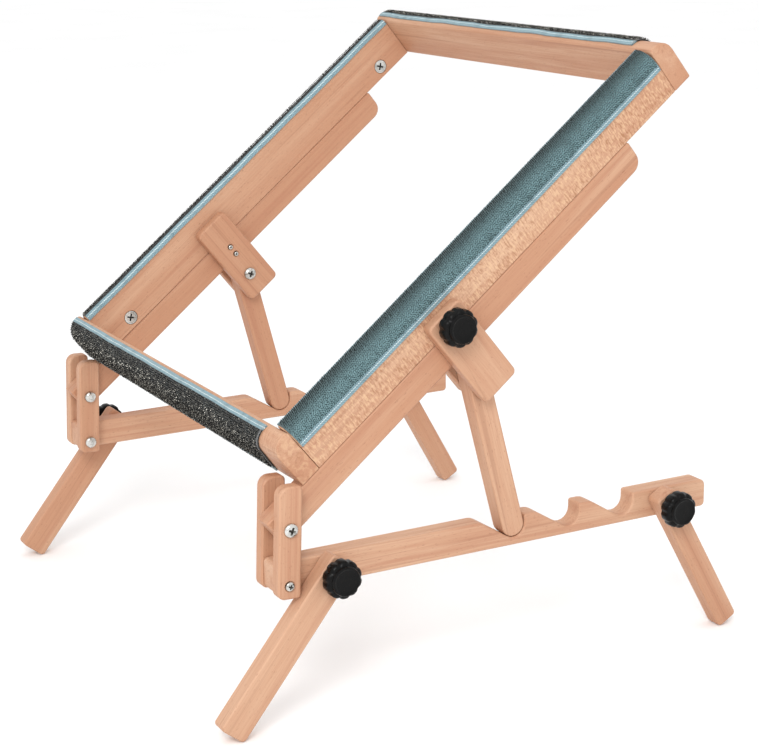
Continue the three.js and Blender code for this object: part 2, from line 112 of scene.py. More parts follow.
# ---- node trees ----
class Tree:
    """A material's node tree, with one short call for each kind of node that the materials use."""

    def __init__(self, name):
        self.material = bpy.data.materials.new(name)
        self.material.use_nodes = True
        self.tree = self.material.node_tree
        self.shader = self.tree.nodes["Principled BSDF"]

    def add(self, kind, **settings):
        node = self.tree.nodes.new(kind)
        for key, value in settings.items():
            setattr(node, key, value)
        return node

    def link(self, source, target):
        self.tree.links.new(source, target)

    def feed(self, value, socket):
        """Links a socket, or sets a plain value."""
        if isinstance(value, bpy.types.NodeSocket):
            self.link(value, socket)
        else:
            socket.default_value = value

    def place(self, rotation=(0, 0, 0), shift=(0, 0, 0)):
        """The piece's own coordinates, turned and then shifted."""
        node = self.add("ShaderNodeMapping")
        self.link(self.add("ShaderNodeTexCoord").outputs["Object"], node.inputs["Vector"])
        node.inputs["Rotation"].default_value = rotation
        node.inputs["Location"].default_value = shift
        return node.outputs["Vector"]

    def stretch(self, vector, scale):
        """Coordinates scaled by one factor, or by a factor for each axis."""
        node = self.add("ShaderNodeMapping")
        self.link(vector, node.inputs["Vector"])
        node.inputs["Scale"].default_value = scale if isinstance(scale, tuple) else (scale,) * 3
        return node.outputs["Vector"]

    def noise(self, vector, detail=2.0, roughness=0.5, distortion=0.0):
        """Noise at scale 1: how fine it is comes from the stretch before it."""
        node = self.add("ShaderNodeTexNoise")
        self.link(vector, node.inputs["Vector"])
        node.inputs["Scale"].default_value = 1.0
        node.inputs["Detail"].default_value = detail
        node.inputs["Roughness"].default_value = roughness
        node.inputs["Distortion"].default_value = distortion
        return node.outputs["Fac"]

    def spread(self, value, low, high, to_low=0.0, to_high=1.0):
        """Maps a value's range to another, held at both ends."""
        node = self.add("ShaderNodeMapRange", interpolation_type="SMOOTHSTEP")
        self.feed(value, node.inputs["Value"])
        node.inputs["From Min"].default_value = low
        node.inputs["From Max"].default_value = high
        node.inputs["To Min"].default_value = to_low
        node.inputs["To Max"].default_value = to_high
        return node.outputs["Result"]

    def math(self, operation, first, second):
        node = self.add("ShaderNodeMath", operation=operation)
        self.feed(first, node.inputs[0])
        self.feed(second, node.inputs[1])
        return node.outputs["Value"]

    def mix(self, share, first, second):
        """Blend of two colours. The node has sockets of other types with the same names."""
        node = self.add("ShaderNodeMix", data_type="RGBA")
        self.feed(share, node.inputs["Factor"])
        for value, name in ((first, "A"), (second, "B")):
            self.feed(value, next(s for s in node.inputs if s.name == name and s.type == "RGBA"))
        return next(s for s in node.outputs if s.type == "RGBA")

    def bump(self, height, distance, strength):
        node = self.add("ShaderNodeBump")
        node.inputs["Strength"].default_value = strength
        node.inputs["Distance"].default_value = distance
        self.link(height, node.inputs["Height"])
        return node.outputs["Normal"]

    def finish(self, colour, roughness, normal=None, **constants):
        self.feed(colour, self.shader.inputs["Base Color"])
        self.feed(roughness, self.shader.inputs["Roughness"])
        if normal is not None:
            self.link(normal, self.shader.inputs["Normal"])
        for name, value in constants.items():
            self.shader.inputs[name.replace("_", " ")].default_value = value
        return self.material


def srgb(red, green, blue):
    """Linear colour of an 8-bit screen colour."""
    channels = [((c / 255 + 0.055) / 1.055) ** 2.4 for c in (red, green, blue)]
    return (*channels, 1)


# ---- materials ----
def beech(name, angle, shift, crosswise=False, rays=0.0, warmth_and_shade=0.0):
    """Bare sanded beech whose grain runs along Y once the piece is turned by its angle.

    rays is how far the wood is cut on the quarter, which shows as short bars across the grain.
    """
    tree = Tree(name)
    turn = (-math.radians(angle), 0, math.radians(90 if crosswise else 0))
    point = tree.place(turn, shift)
    pale = srgb(204, 165, 136)
    tan = srgb(186, 138, 108)
    rose = srgb(172, 119, 92)
    dark = srgb(132, 84, 60)
    ray_brown = srgb(152, 104, 66)
    ray_light = srgb(222, 188, 148)

    broad = tree.noise(tree.stretch(point, (26, 2.2, 26)), detail=3, distortion=0.4)
    # the tan share: the board's own tone, and on the left boards partly painted shade
    colour = tree.mix(tree.spread(broad, 0.3 - warmth_and_shade, 0.72 - warmth_and_shade), pale, tan)
    fine = tree.stretch(point, (110, 3.0, 110))
    rings = tree.noise(fine, detail=4, roughness=0.6, distortion=0.6)
    colour = tree.mix(tree.spread(rings, 0.46, 0.74, 0, 0.62), colour, rose)
    late = tree.noise(tree.stretch(point, (190, 2.4, 190)), detail=2, distortion=0.9)
    colour = tree.mix(tree.spread(late, 0.62, 0.7, 0, 0.26), colour, dark)
    fibre = tree.noise(tree.stretch(point, (900, 22, 900)), detail=3, roughness=0.65)
    colour = tree.mix(tree.spread(fibre, 0.35, 0.7, 0, 0.3), colour, rose)
    pores = tree.noise(tree.stretch(point, (1500, 260, 1500)), detail=1)
    colour = tree.mix(tree.spread(pores, 0.66, 0.76, 0, 0.5), colour, dark)
    height = tree.math("ADD", fibre, tree.math("MULTIPLY", pores, -0.6))
    if rays:
        patches = tree.noise(tree.stretch(point, (60, 25, 60)), detail=2)
        bars = tree.noise(tree.stretch(point, (240, 760, 240)), detail=2, distortion=0.5)
        where = tree.spread(bars, 0.52, 0.66)
        dashes = tree.math("MULTIPLY", where, tree.spread(patches, 0.25, 0.6))
        colour = tree.mix(tree.math("MULTIPLY", dashes, 0.6 * rays), colour, ray_brown)
        lights = tree.math("MULTIPLY", tree.spread(bars, 0.48, 0.36), 0.45 * rays)
        colour = tree.mix(lights, colour, ray_light)
        height = tree.math("ADD", height, tree.math("MULTIPLY", bars, -0.4))
    normal = tree.bump(height, 0.15 * MM, 0.5)
    roughness = tree.spread(fibre, 0.3, 0.75, 0.5, 0.68)
    return tree.finish(colour, roughness, normal, Specular_IOR_Level=0.35)


def zinc():
    """Zinc-plated steel with fine handling marks."""
    tree = Tree("zinc_plated_steel")
    point = tree.place()
    marks = tree.noise(tree.stretch(point, 900), detail=3)
    cloud = tree.noise(tree.stretch(point, 160), detail=2)
    colour = tree.mix(tree.spread(cloud, 0.35, 0.7), srgb(214, 214, 210), srgb(170, 170, 166))
    roughness = tree.spread(marks, 0.3, 0.7, 0.16, 0.34)
    return tree.finish(colour, roughness, tree.bump(marks, 0.03 * MM, 0.4), Metallic=1.0)


def painted_shade_socket():
    """Painted shade: dark steel at the bottom of a screw recess, where shade falls."""
    tree = Tree("painted_recess_shade")
    # painted shade, mottled
    soil_and_shade_noise = tree.noise(tree.stretch(tree.place(), 1200), detail=2)
    colour = tree.mix(tree.spread(soil_and_shade_noise, 0.3, 0.7), srgb(46, 44, 42), srgb(92, 88, 84))
    return tree.finish(colour, tree.spread(soil_and_shade_noise, 0.3, 0.7, 0.4, 0.6), Metallic=1.0)


def black_plastic():
    """Moulded black plastic: a fine eggshell skin with a few scuffs."""
    tree = Tree("black_moulded_plastic")
    point = tree.place()
    grain = tree.noise(tree.stretch(point, 2600), detail=2)
    scuffs = tree.noise(tree.stretch(point, (150, 420, 150)), detail=4, roughness=0.7)
    colour = tree.mix(tree.spread(scuffs, 0.5, 0.8), srgb(8, 8, 8), srgb(18, 18, 18))
    roughness = tree.spread(scuffs, 0.35, 0.75, 0.26, 0.46)
    normal = tree.bump(grain, 0.05 * MM, 0.35)
    return tree.finish(colour, roughness, normal, Specular_IOR_Level=0.14)


def strip_cloth(name, ground, thread, shade=0.0):
    """The woven ground that the wires stand in: a herringbone twill, in flat coordinates.

    shade is how much painted shade darkens the cloth towards the rail's inner edge.
    """
    tree = Tree(name)
    dust = srgb(64, 82, 86)
    painted_shadow = srgb(50, 58, 58)
    flat = tree.add("ShaderNodeUVMap", uv_map=FLAT_MAP).outputs["UV"]
    parts = tree.add("ShaderNodeSeparateXYZ")
    tree.link(flat, parts.inputs["Vector"])
    chevron = tree.math("PINGPONG", parts.outputs["Y"], TWILL_BAND)
    joined = tree.add("ShaderNodeCombineXYZ")
    tree.link(parts.outputs["X"], joined.inputs["X"])
    tree.link(chevron, joined.inputs["Y"])
    wave = tree.add("ShaderNodeTexWave", wave_type="BANDS", bands_direction="DIAGONAL")
    wave.inputs["Scale"].default_value = TWILL_SCALE
    wave.inputs["Distortion"].default_value = 2.5
    wave.inputs["Detail"].default_value = 2
    wave.inputs["Detail Scale"].default_value = 2
    tree.link(joined.outputs["Vector"], wave.inputs["Vector"])
    soil_and_shade_noise = tree.noise(tree.stretch(flat, 90), detail=3)
    colour = tree.mix(wave.outputs["Fac"], ground, thread)
    colour = tree.mix(tree.spread(soil_and_shade_noise, 0.45, 0.75, 0, 0.3), colour, dust)
    # painted shade: the cloth grows darker towards the rail's inner edge
    inwards = tree.spread(parts.outputs["Y"], *PAINTED_SHADE_SPAN, 0, shade)
    colour = tree.mix(inwards, colour, painted_shadow)
    normal = tree.bump(wave.outputs["Fac"], 0.2 * MM, 0.7)
    return tree.finish(colour, 0.85, normal, Sheen_Weight=0.3, Sheen_Roughness=0.4)


def wire(name, dark, glint_colour):
    """Fine steel wire with painted glints: random specks of a brighter colour."""
    tree = Tree(name)
    glint_noise = tree.noise(tree.stretch(tree.place(), 950), detail=1)
    patch = tree.noise(tree.stretch(tree.place(), 60), detail=2)
    # painted glints: brighter specks on the dark wire
    painted_glint = tree.spread(glint_noise, 0.54, 0.66)
    share = tree.math("MULTIPLY", painted_glint, tree.spread(patch, 0.3, 0.7, 0.6, 1.0))
    colour = tree.mix(share, dark, glint_colour)
    return tree.finish(colour, tree.spread(glint_noise, 0.4, 0.7, 0.5, 0.3), Metallic=0.7)


def floor_paint():
    """Plain pale floor with a barely visible mottle."""
    tree = Tree("pale_floor")
    duller = (0.93, 0.93, 0.93, 1)
    paler = (0.96, 0.96, 0.96, 1)
    mottle = tree.noise(tree.stretch(tree.place(), 3), detail=2)
    colour = tree.mix(tree.spread(mottle, 0.3, 0.7), duller, paler)
    return tree.finish(colour, 0.9, Specular_IOR_Level=0.1)


ZINC = zinc()
PAINTED_RECESS_SHADE = painted_shade_socket()
BLACK = black_plastic()


# ---- boards ----
def round_edges(board):
    """Welds a CAD board's faces, then rounds its edges and shades it smoothly."""
    for polygon in board.data.polygons:
        polygon.use_smooth = True
    board.modifiers.new("weld", "WELD").merge_threshold = 0.01 * MM
    flatten = board.modifiers.new("flatten", "DECIMATE")
    flatten.decimate_type = "DISSOLVE"
    flatten.angle_limit = math.radians(1)
    bevel = board.modifiers.new("bevel", "BEVEL")
    bevel.width = EDGE_ROUND
    bevel.segments = 2
    bevel.limit_method = "ANGLE"
    bevel.angle_limit = math.radians(ROUNDED_FROM)
    shading = board.modifiers.new("shading", "WEIGHTED_NORMAL")
    shading.weight = 60


def kind_of_board(node):
    return next((kind for kind in GRAIN_ANGLES if node.endswith(kind)), None)


def finish_boards():
    """Gives every board its own piece of beech, by a drawn place in the wood and a drawn tone, darker on some
    boards.
    """
    draw = np.random.default_rng(7)
    farthest, warmest, darker_by = 3, 0.06, 0.1
    for node in sorted(frame["nodes"]):
        kind = kind_of_board(node)
        if kind is None:
            continue
        board = frame["nodes"][node]
        shift = tuple(draw.uniform(-farthest, farthest, 3))
        crosswise = node in CROSSWISE_BOARDS
        rays = QUARTERED_BOARDS.get(node, 0.0)
        # Left boards and the listed ones are darker and more tan: on the left boards partly their own warmer wood
        # and partly painted shade from the parts around them.
        darker = node.startswith("left") or node in DARKER_BOARDS
        warmth_and_shade = draw.uniform(-warmest, warmest) + (darker_by if darker else 0)
        material = beech(f"beech_{node}", GRAIN_ANGLES[kind], shift, crosswise, rays, warmth_and_shade)
        board.data.materials.clear()
        board.data.materials.append(material)
        round_edges(board)


# ---- turned pieces ----
SHARP_FROM = 38  # degrees that a turned piece's surface must turn by to show an edge
SHANK = 3 * MM  # radius of studs and bolts


def link_mesh(name, mesh):
    piece = bpy.data.objects.new(name, mesh)
    bpy.context.scene.collection.objects.link(piece)
    return piece


def turned(name, profile, steps, centre, axis, turn=0.0):
    """Closed turned piece. The profile is (radius, along) pairs from one end of the axis on.

    A radius may be a function of the angle, as on a lobed knob or in a cross recess.
    """
    angles = [2 * math.pi * step / steps for step in range(steps)]
    vertices = [(0, 0, profile[0][1])]
    for radius, along in profile[1:-1]:
        for angle in angles:
            r = radius(angle + turn) if callable(radius) else radius
            vertices.append((r * math.cos(angle), r * math.sin(angle), along))
    vertices.append((0, 0, profile[-1][1]))
    rings = len(profile) - 2
    faces = []
    for step in range(steps):
        after = (step + 1) % steps
        faces.append((0, 1 + after, 1 + step))
        last = 1 + (rings - 1) * steps
        faces.append((len(vertices) - 1, last + step, last + after))
        for ring in range(rings - 1):
            here, above = 1 + ring * steps, 1 + (ring + 1) * steps
            faces.append((here + step, here + after, above + after, above + step))
    mesh = bpy.data.meshes.new(name)
    mesh.from_pydata(vertices, [], faces)
    toward = Vector(axis).to_track_quat("Z", "X").to_matrix().to_4x4()
    mesh.transform(Matrix.Translation(centre) @ toward)
    mesh.shade_smooth()
    mesh.set_sharp_from_angle(angle=math.radians(SHARP_FROM))
    return link_mesh(name, mesh)


def paint_inside(piece, centre, axis, radius, depth, material):
    """Gives the faces at the bottom of a recess a second material, the painted shade of the recess."""
    piece.data.materials.append(material)
    for polygon in piece.data.polygons:
        offset = polygon.center - centre
        along = offset.dot(axis)
        if (offset - axis * along).length < radius and along < depth:
            polygon.material_index = 1


def cross(length, width):
    """Radius of a cross recess at each angle: four arms of a length and a half width."""

    def radius(angle):
        off = (angle + math.pi / 4) % (math.pi / 2) - math.pi / 4
        return min(length, width / max(abs(math.sin(off)), 1e-6))

    return radius


def replace_node(piece, node, body):
    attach(piece, body)
    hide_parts(node)
    return piece


def body_of(node):
    bodies = frame["record"]["behaviour"]["bodies"]
    return next(body for body, members in bodies.items() if node in members)


def side_of(node):
    return SIGN[node.split("_")[0]]


def ends(node, outwards):
    """A node's outer and inner end, as distances along X, or against it where outwards is -1."""
    low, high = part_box(node)
    return (high.x, low.x) if outwards > 0 else (-low.x, -high.x)


def radius_of(node):
    """Half the extent of a round node whose axis runs sideways."""
    low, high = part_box(node)
    return (high.y - low.y) / 2


def fit_turned(node, ending, profile, seat, outwards, steps, turn=0, recess=None, plastic=False):
    """Turns a piece in a node's place. Its profile's zero is at the seat and looks outwards.

    turn is in degrees; recess is the radius and the height within which faces get the painted recess shade.
    """
    centre = middle(node)
    at = Vector((outwards * seat, centre.y, centre.z))
    axis = Vector((outwards, 0, 0))
    piece = turned(f"{node}_{ending}", profile, steps, at, axis, math.radians(turn))
    piece.data.materials.append(BLACK if plastic else ZINC)
    if recess:
        paint_inside(piece, at, axis, *recess, PAINTED_RECESS_SHADE)
    return replace_node(piece, node, body_of(node))


# ---- knobs ----
KNOB_LOBES = 10
KNOB_VALLEY = 1.0 * MM  # depth of the valleys between the lobes
VALLEY_POWER = 2.5  # higher makes the valleys narrower
KNOB_HEIGHT = 16.5 * MM  # over the face that the knob presses on
KNOB_STEPS = 120


def lobed(radius, depth):
    """Radius of a star knob at each angle: broad lobes with narrow valleys between them."""

    def at(angle):
        return radius - depth * ((1 - math.cos(KNOB_LOBES * angle)) / 2) ** VALLEY_POWER

    return at


def make_knob(node):
    """A star knob with its stud, built outwards from the face that it presses on."""
    side = side_of(node)
    outer, inner = ends(node, side)
    radius = radius_of(node)
    seat = outer - KNOB_HEIGHT
    profile = [
        # the stud
        (0, inner - seat),
        (SHANK, inner - seat),
        (SHANK, 0),
        # the hub
        (7.4 * MM, 0),
        (8 * MM, 0.5 * MM),
        (8 * MM, 2.6 * MM),
        # the lobed grip
        (lobed(radius - 2.4 * MM, 0.6 * MM), 3.0 * MM),
        (lobed(radius - 0.7 * MM, KNOB_VALLEY), 3.6 * MM),
        (lobed(radius, KNOB_VALLEY), 4.9 * MM),
        (lobed(radius, KNOB_VALLEY), 10.6 * MM),
        (lobed(radius - 0.35 * MM, KNOB_VALLEY), 12.2 * MM),
        (lobed(radius - 1.3 * MM, 1.3 * MM), 13.4 * MM),
        (lobed(radius - 2.6 * MM, 0.7 * MM), 14.0 * MM),
        # the raised ring on its face
        (11.7 * MM, 14.2 * MM),
        (11.6 * MM, 15.5 * MM),
        (11.1 * MM, 16.3 * MM),
        (10.4 * MM, KNOB_HEIGHT),
        (9.7 * MM, 16.3 * MM),
        (9.2 * MM, 15.8 * MM),
        # the flat middle
        (8.4 * MM, 15.6 * MM),
        (4 * MM, 15.6 * MM),
        (0, 15.6 * MM),
    ]
    return fit_turned(node, "moulding", profile, seat, side, KNOB_STEPS, plastic=True)


# ---- fasteners ----
BOLT_HEADS = {  # radius and height
    "arm": (5.6 * MM, 2.6 * MM),
    "base": (3.8 * MM, 1.8 * MM),
    "strut": (6 * MM, 3 * MM),
}
NUT_HOLE = 3.3 * MM  # radius
CAM_CROSS = (3.6 * MM, 0.75 * MM)  # length and half width of its arms at the face
CAM_CROSS_FLOOR = (2.4 * MM, 0.5 * MM)


def make_bolt(node, r, h):
    """A bolt with a low domed head of radius r and height h, and a cross recess.

    Its shank is the CAD node's length.
    """
    outwards = -side_of(node) if node.endswith("strut_bolt") else side_of(node)
    head_end, far_end = ends(node, outwards)
    seat = head_end - h
    profile = [
        # the shank
        (0, far_end - seat),
        (SHANK, far_end - seat),
        (SHANK, 0),
        # the domed head
        (r, 0),
        (r, 0.28 * h),
        (0.93 * r, 0.55 * h),
        (0.8 * r, 0.8 * h),
        (0.62 * r, 0.95 * h),
        (0.585 * r, 0.98 * h),
        # the recess
        (cross(0.55 * r, 0.17 * r), h),
        (cross(0.36 * r, 0.12 * r), 0.25 * h),
        (0, 0.2 * h),
    ]
    return fit_turned(node, "turning", profile, seat, outwards, 48, 20, (0.45 * r, 0.62 * h))


def make_nut(node):
    """A sleeve nut: a low rounded cap over the bolt's end."""
    outwards = -side_of(node)
    outer, seat = ends(node, outwards)
    height = outer - seat
    radius = radius_of(node)
    profile = [
        # the hole for the bolt
        (0, height - 1.2 * MM),
        (NUT_HOLE, height - 1.2 * MM),
        (NUT_HOLE, 0),
        # the cap, with a shallow dish
        (radius, 0),
        (radius, 0.45 * height),
        (0.96 * radius, 0.66 * height),
        (0.84 * radius, 0.86 * height),
        (0.66 * radius, 0.97 * height),
        (0.42 * radius, height),
        (0.36 * radius, 0.86 * height),
        (0, 0.86 * height),
    ]
    return fit_turned(node, "turning", profile, seat, outwards, 48)


def make_screw(node):
    """A small screw seen on the inner clamp plate, with a cross recess in a low head."""
    outwards = -side_of(node)
    head_end, far_end = ends(node, outwards)
    tip = far_end - head_end
    radius = radius_of(node)
    profile = [
        # the pointed shank
        (0, tip),
        (0.25 * radius, tip + 0.4 * MM),
        (radius, tip + 3 * MM),
        # the head
        (radius, -0.55 * MM),
        (0.82 * radius, -0.1 * MM),
        (0.62 * radius, 0),
        # the recess
        (cross(0.56 * radius, 0.2 * radius), 0),
        (cross(0.3 * radius, 0.12 * radius), -0.8 * MM),
        (0, -0.9 * MM),
    ]
    recess = (0.4 * radius, -0.3 * MM)
    return fit_turned(node, "turning", profile, head_end, outwards, 32, 33, recess)


def make_cam_lock(node):
    """A furniture cam in a side rail's inner face: a round body with a rim and a deep cross."""
    outwards = -side_of(node)
    face, back = ends(node, outwards)
    radius = radius_of(node)
    profile = [
        # the body
        (0, back - face),
        (radius, back - face),
        # the rim round its face
        (radius, -0.5 * MM),
        (radius - 0.3 * MM, -0.1 * MM),
        (radius - 0.8 * MM, 0),
        (radius - 1.3 * MM, -0.1 * MM),
        (radius - 1.6 * MM, -0.5 * MM),
        (3.9 * MM, -0.5 * MM),
        # the cross
        (cross(*CAM_CROSS), -0.5 * MM),
        (cross(*CAM_CROSS_FLOOR), -2.2 * MM),
        (0, -2.3 * MM),
    ]
    recess = (3.2 * MM, -0.9 * MM)
    return fit_turned(node, "casting", profile, face, outwards, 64, 12, recess)


def make_hardware():
    for side in SIDES:
        for place in ("clamp", "front_leg", "rear_leg"):
            make_knob(f"{side}_{place}_knob")
        for place, (head_radius, head_height) in BOLT_HEADS.items():
            make_bolt(f"{side}_{place}_bolt", head_radius, head_height)
        for place in ("arm", "base"):
            make_nut(f"{side}_{place}_nut")
        for place in ("upper", "lower"):
            make_screw(f"{side}_plate_screw_{place}")
        for place in ("front", "rear"):
            make_cam_lock(f"{side}_{place}_cam_lock")


# ---- gripper strips ----
CLOTH = 1.0 * MM  # thickness of the strip's woven backing
LIFT_OFF = 0.35 * MM  # air between the rail and the backing
PILE_TOP = 2.95 * MM  # height of the wire tips over the rail
BORDER = 4.9 * MM  # width of the bare selvage on each edge
RIBS = (2.8 * MM, 4.3 * MM)  # places of the piped ribs in from each edge
RIB_HEIGHT = 0.55 * MM
RIB_WIDTH = 0.38 * MM
PIPING = 0.36 * MM  # half width of the white piping on the outer rib
ROW_STEP = 3 * MM  # between the backing mesh's rows, along the rail
SELVAGE_STEP = 0.35 * MM  # between its columns on a selvage
GROUND_COLUMNS = 18  # its columns between the selvages, set in by a margin
GROUND_MARGIN = 0.6 * MM
WIRE_RADIUS = 0.3 * MM
WIRE_PITCH = 1.5 * MM
WIRE_LEAN = -0.35  # a tip's shift towards the inner edge, per height over its knee
WIRE_FOOT = 0.6 * MM  # height of a wire's foot over the backing's underside
KNEE = 0.9 * MM  # height over the backing where a wire bends
TIP_SIZE = 0.75  # of a wire's thickness
CORNERS = 3  # of a wire's section

# ---- where the strips lie ----
BARE_CORNER = 3 * MM  # bare wood beyond a cross strip's end at one corner
BARE_END = 27 * MM  # bare wood beyond its other end
SIDE_CLEARANCE = 1.2 * MM  # between a side strip's end and the cross rail
CROSS_LOW_EDGE = 2 * MM  # over the rail's underside, where a cross strip begins on its face
CROSS_REACH = 14.5 * MM  # how far a cross strip reaches in over its rail's top
SIDE_LOW_EDGE = 24 * MM
SIDE_INNER_EDGE = 38 * MM
PAINTED_CLOTH_SHADE = 0.75  # painted shade of the teal cloth, towards its rail's inner edge
WAVE = {"rear": 0.9 * MM}  # sway of the strips' inner edge
SMALL_WAVE = 0.3 * MM  # of the others
SLANT = {"front": 14 * MM}  # how far a strip's end is cut askew

# Each strip has a local frame: along the rail, in from its outer face and up from its underside.
STRIPS = {
    "front": dict(along=ACROSS, inwards=ALONG, at=ALONG * FRONT, node="front_rail"),
    "rear": dict(along=-ACROSS, inwards=-ALONG, at=ALONG * REAR, node="rear_rail"),
    "right": dict(along=ALONG, inwards=-ACROSS, at=ACROSS * HALF_WIDTH, node="right_rail"),
    "left": dict(along=-ALONG, inwards=ACROSS, at=-ACROSS * HALF_WIDTH, node="left_rail"),
}


def arc(centre_in, centre_up, radius, start, end, steps=14):
    angles = np.linspace(math.radians(start), math.radians(end), steps)
    return [(centre_in + radius * math.cos(a), centre_up + radius * math.sin(a)) for a in angles]


class Wrap:
    """The path of a strip over its rail, on the wood, from its low outer edge to its inner edge."""

    def __init__(self, low_edge, inner_edge=None, top_reach=None):
        points = [(0, low_edge)]
        points += arc(OUTER_ROUND, RAIL_HEIGHT - OUTER_ROUND, OUTER_ROUND, 180, 90)
        if inner_edge is None:
            points.append((top_reach, RAIL_HEIGHT))
        else:
            centre_in, centre_up = RAIL_THICKNESS - INNER_ROUND, RAIL_HEIGHT - INNER_ROUND
            points += arc(centre_in, centre_up, INNER_ROUND, 90, 0, 8)
            points.append((RAIL_THICKNESS, inner_edge))
        self.points = np.array(points)
        steps = np.linalg.norm(np.diff(self.points, axis=0), axis=1)
        self.distances = np.concatenate([[0], np.cumsum(steps)])
        self.width = self.distances[-1]
        directions = np.diff(self.points, axis=0) / steps[:, None]
        joined = np.vstack([directions[:1], directions[:-1] + directions[1:], directions[-1:]])
        self.directions = joined / np.linalg.norm(joined, axis=1)[:, None]

    def at(self, distance):
        """Places on the wood, and outward directions there, as (in, up) pairs."""
        d = np.clip(distance, 0, self.width)
        place = [np.interp(d, self.distances, self.points[:, axis]) for axis in (0, 1)]
        dx, dy = [np.interp(d, self.distances, self.directions[:, axis]) for axis in (0, 1)]
        size = np.hypot(dx, dy)
        return np.stack(place, -1), np.stack([-dy / size, dx / size], -1)


def to_world(strip, along, in_up):
    """World points from distances along a rail and (in, up) places in its cross-section."""
    axes = [np.array(strip[key]) for key in ("along", "inwards")] + [np.array(NORMAL)]
    base = np.array(strip["at"]) + np.array(NORMAL) * UNDERSIDE
    return base + along[..., None] * axes[0] + in_up[..., :1] * axes[1] + in_up[..., 1:] * axes[2]


def backing_height(distance, width):
    """Height of the backing over the wood: flat, with two piped ribs along each selvage."""
    edge = np.minimum(distance, width - distance)
    height = np.full_like(edge, CLOTH)
    for rib in RIBS:
        height += RIB_HEIGHT * np.exp(-(((edge - rib) / RIB_WIDTH) ** 2))
    return height


def border_columns(width):
    """Distances across a strip of its mesh's columns: close on the selvages, wider between."""
    selvage = np.arange(0, BORDER + 0.01 * MM, SELVAGE_STEP)
    ground = np.linspace(BORDER + GROUND_MARGIN, width - BORDER - GROUND_MARGIN, GROUND_COLUMNS)
    return np.concatenate([selvage, ground, width - selvage[::-1]])


def cut_askew(along, distance, start, end, width, slant):
    """Pulls a strip's far end back towards its low edge, as where it was cut askew."""
    return along - slant * (1 - distance / width) * (along - start) / (end - start)


def rim_faces(index, count):
    """Quads that close a sheet's four edges. A lower point's number is count above its upper one's."""
    rows, columns = index.shape
    down = [(index[row, column], index[row + 1, column], column > 0)
            for row in range(rows - 1) for column in (0, columns - 1)]
    over = [(index[row, column], index[row, column + 1], row == 0)
            for column in range(columns - 1) for row in (0, rows - 1)]
    quads = [((one, one + count, two + count, two), flip) for one, two, flip in down + over]
    return [quad[::-1] if flip else quad for quad, flip in quads]


def make_backing(name, strip, wrap, start, end, slant, wave, materials):
    """A woven strip over its rail: one closed sheet with a wavy edge and ribbed selvages.

    The materials are those of the ground, the selvages and the piping.
    """
    draw = np.random.default_rng(sum(map(ord, name)))
    rows = int((end - start) / ROW_STEP)
    along = np.linspace(start, end, rows)
    across = border_columns(wrap.width)
    phase = draw.uniform(0, 6, 4)
    sway = wave * (np.sin(along * 47 + phase[0]) + 0.6 * np.sin(along * 121 + phase[1])) / 1.6
    a, d = np.meshgrid(along, across, indexing="ij")
    a = cut_askew(a, d, start, end, wrap.width, slant)
    share = d / wrap.width
    shifted = np.clip(d + sway[:, None] * share, 0, wrap.width)
    in_up, outward = wrap.at(shifted)
    lift = LIFT_OFF + backing_height(d, wrap.width)
    upper = to_world(strip, a, in_up + outward * lift[..., None])
    lower = to_world(strip, a, in_up + outward * LIFT_OFF)
    columns = len(across)
    count = rows * columns
    index = np.arange(count).reshape(rows, columns)
    corners = [index[:-1, :-1], index[1:, :-1], index[1:, 1:], index[:-1, 1:]]
    quads = np.stack(corners, -1).reshape(-1, 4)
    faces = quads[:, ::-1].tolist() + (quads + count).tolist() + rim_faces(index, count)
    mesh = bpy.data.meshes.new(name)
    mesh.from_pydata(np.vstack([upper.reshape(-1, 3), lower.reshape(-1, 3)]).tolist(), [], faces)
    flat = np.stack([a, d], -1).reshape(-1, 2)
    flat = np.vstack([flat, flat])
    loops = np.zeros(len(mesh.loops), int)
    mesh.loops.foreach_get("vertex_index", loops)
    mesh.uv_layers.new(name=FLAT_MAP).data.foreach_set("uv", flat[loops].ravel())
    for material in materials:
        mesh.materials.append(material)
    opposite = np.array([(face[0], face[2]) for face in faces])
    middles = flat[opposite, 1].sum(axis=1) / 2
    edge = np.minimum(middles, wrap.width - middles)
    kinds = np.where(edge > BORDER, 0, np.where(np.abs(edge - RIBS[0]) < PIPING, 2, 1))
    mesh.polygons.foreach_set("material_index", kinds.astype(np.int32))
    mesh.shade_smooth()
    mesh.update()
    return link_mesh(name, mesh)


